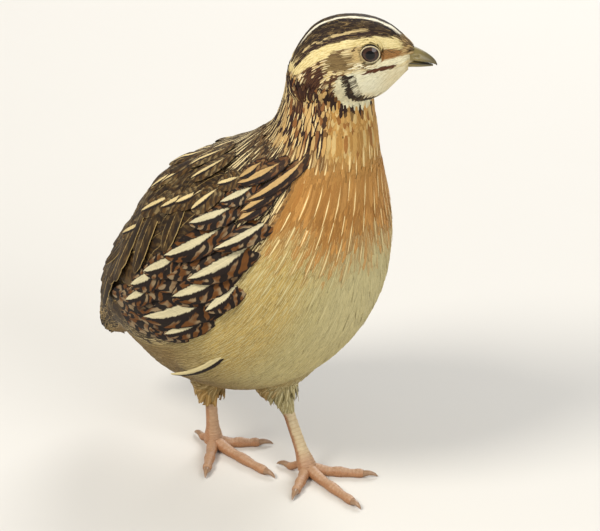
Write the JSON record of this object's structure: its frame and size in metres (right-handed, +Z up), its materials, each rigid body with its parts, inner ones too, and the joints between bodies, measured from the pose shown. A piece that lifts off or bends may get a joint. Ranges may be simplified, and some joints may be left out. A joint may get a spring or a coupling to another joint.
{
  "type": "coturnix quail",
  "caption": "Life-size standing quail in mid-step, upright body, head turned to its left, folded wings, short drooping tail, bare legs with spread toes.",
  "frame": {"origin": "middle of the bird's own extents in X and Y, at the floor that its feet stand on", "axes": "+X the way the body heads, +Y the bird's left, +Z up"},
  "size_m": [0.1046, 0.0682, 0.1399],
  "materials": {
    "plumage": "soft feathers",
    "belly plumage": "soft feathers",
    "eye": "wet gloss",
    "bill horn": "satin horn",
    "leg skin": "scaly skin",
    "claw horn": "satin horn"
  },
  "bodies": {
    "root": {"thigh_left": "belly plumage", "shank_left": "leg skin", "toe_left_middle": "leg skin", "claw_left_middle": "claw horn", "toe_left_inner": "leg skin", "claw_left_inner": "claw horn", "toe_left_outer": "leg skin", "claw_left_outer": "claw horn", "toe_left_hind": "leg skin", "claw_left_hind": "claw horn", "thigh_right": "belly plumage", "shank_right": "leg skin", "toe_right_middle": "leg skin", "claw_right_middle": "claw horn", "toe_right_inner": "leg skin", "claw_right_inner": "claw horn", "toe_right_outer": "leg skin", "claw_right_outer": "claw horn", "toe_right_hind": "leg skin", "claw_right_hind": "claw horn", "torso": "belly plumage", "neck": "plumage", "head": "plumage", "eye_left": "eye", "eye_right": "eye", "bill_upper": "bill horn", "bill_lower": "bill horn", "wing_left": "plumage", "wing_right": "plumage", "tail": "plumage"}
  },
  "joints": []
}
